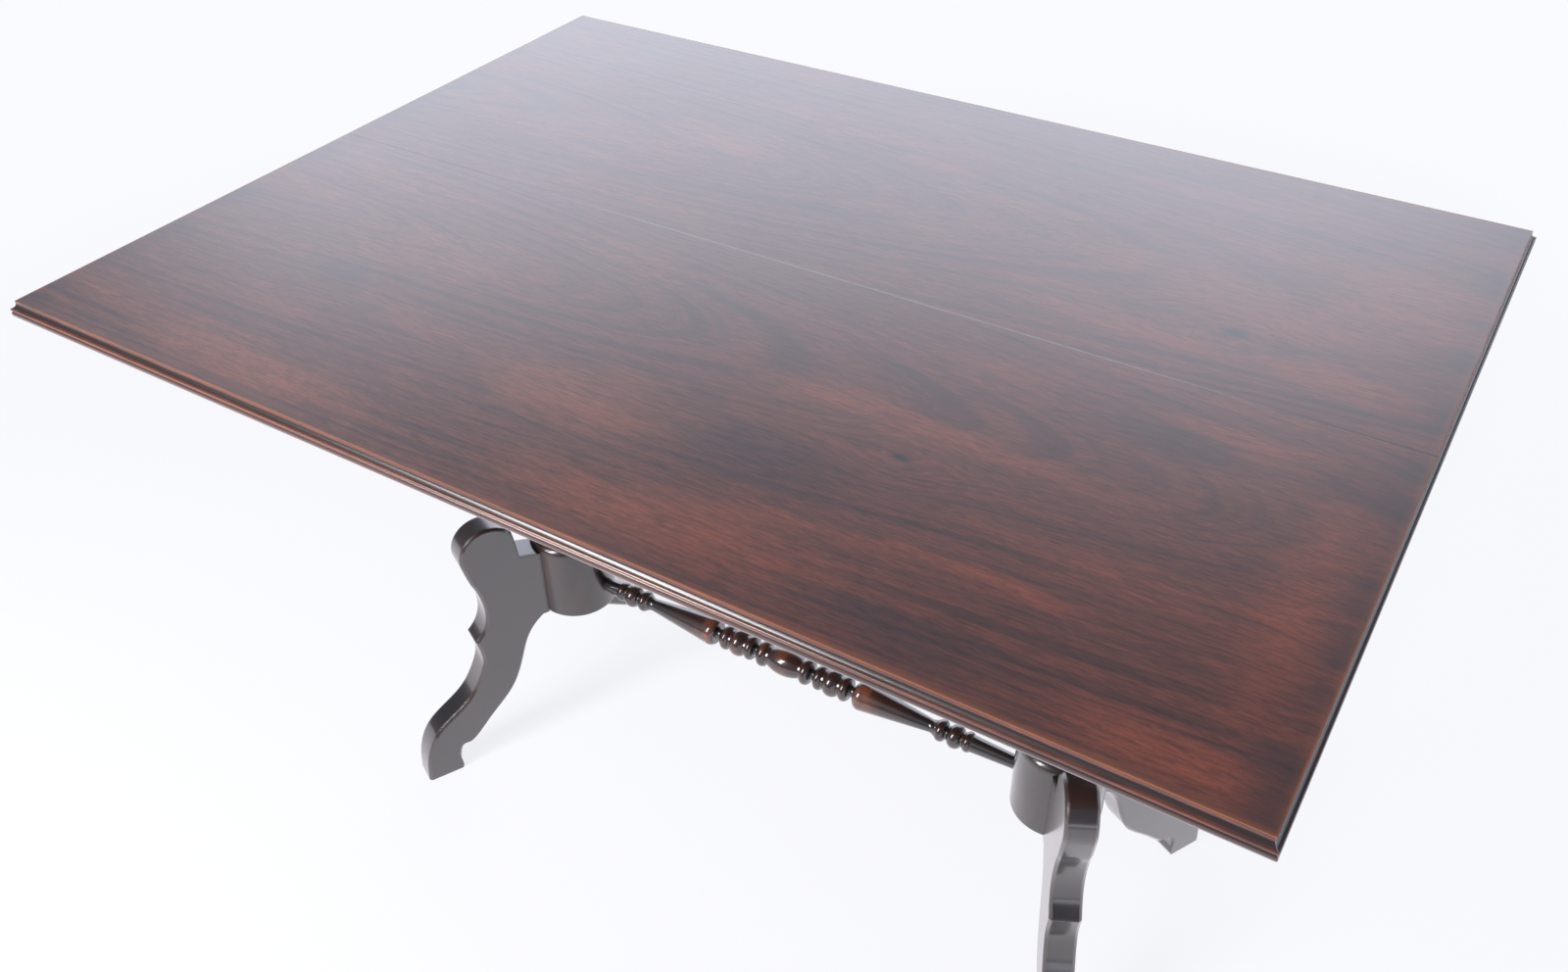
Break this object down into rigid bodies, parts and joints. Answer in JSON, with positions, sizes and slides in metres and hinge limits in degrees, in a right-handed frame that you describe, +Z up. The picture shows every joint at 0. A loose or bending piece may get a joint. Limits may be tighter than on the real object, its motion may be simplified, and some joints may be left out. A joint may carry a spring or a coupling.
{
  "type": "flip-top table",
  "caption": "Flip-top table: two-board moulded top turns upright on pivot pins, held by brass bolts, over turned columns, scroll legs and a turned stretcher.",
  "frame": {"origin": "on the floor, under the centre of the top", "axes": "+X along the length of the top and the stretcher, +Z up, -Y to the front, where the picture was taken from"},
  "size_m": [1.1086, 0.8026, 0.74],
  "materials": {
    "top_wood": "polished dark red-brown hardwood",
    "base_wood": "ebonised and polished hardwood, worn brown on the edges",
    "frame_wood": "planed and oiled hardwood",
    "dowel_wood": "plain dowel wood",
    "brass": "dulled brass",
    "iron": "dark iron"
  },
  "bodies": {
    "base": {"front_rail": "frame_wood", "keeper_screws": "brass", "left_bearer": "frame_wood", "left_column": "base_wood", "left_flip_stop": "frame_wood", "left_front_leg": "base_wood", "left_keeper": "brass", "left_rear_leg": "base_wood", "rear_rail": "frame_wood", "right_bearer": "frame_wood", "right_column": "base_wood", "right_flip_stop": "frame_wood", "right_front_leg": "base_wood", "right_keeper": "brass", "right_rear_leg": "base_wood", "stretcher": "base_wood"},
    "top": {"front_board": "top_wood", "rear_board": "top_wood", "board_dowels": "dowel_wood", "left_batten": "frame_wood", "right_batten": "frame_wood", "batten_screws": "iron", "left_pivot_pin": "iron", "right_pivot_pin": "iron", "left_bolt_plate": "brass", "right_bolt_plate": "brass", "plate_screws": "brass"},
    "left_bolt": {"left_bolt": "brass"},
    "right_bolt": {"right_bolt": "brass"}
  },
  "joints": [
    {"name": "top_flip", "type": "hinge", "parent": "base", "child": "top", "pos_m": [0, 0.13, 0.703], "axis": [-1, 0, 0], "range_deg": [0, 90]},
    {"name": "left_bolt_slide", "type": "slide", "parent": "top", "child": "left_bolt", "axis": [0, 1, 0], "range_m": [0, 0.016]},
    {"name": "right_bolt_slide", "type": "slide", "parent": "top", "child": "right_bolt", "axis": [0, 1, 0], "range_m": [0, 0.016]}
  ]
}
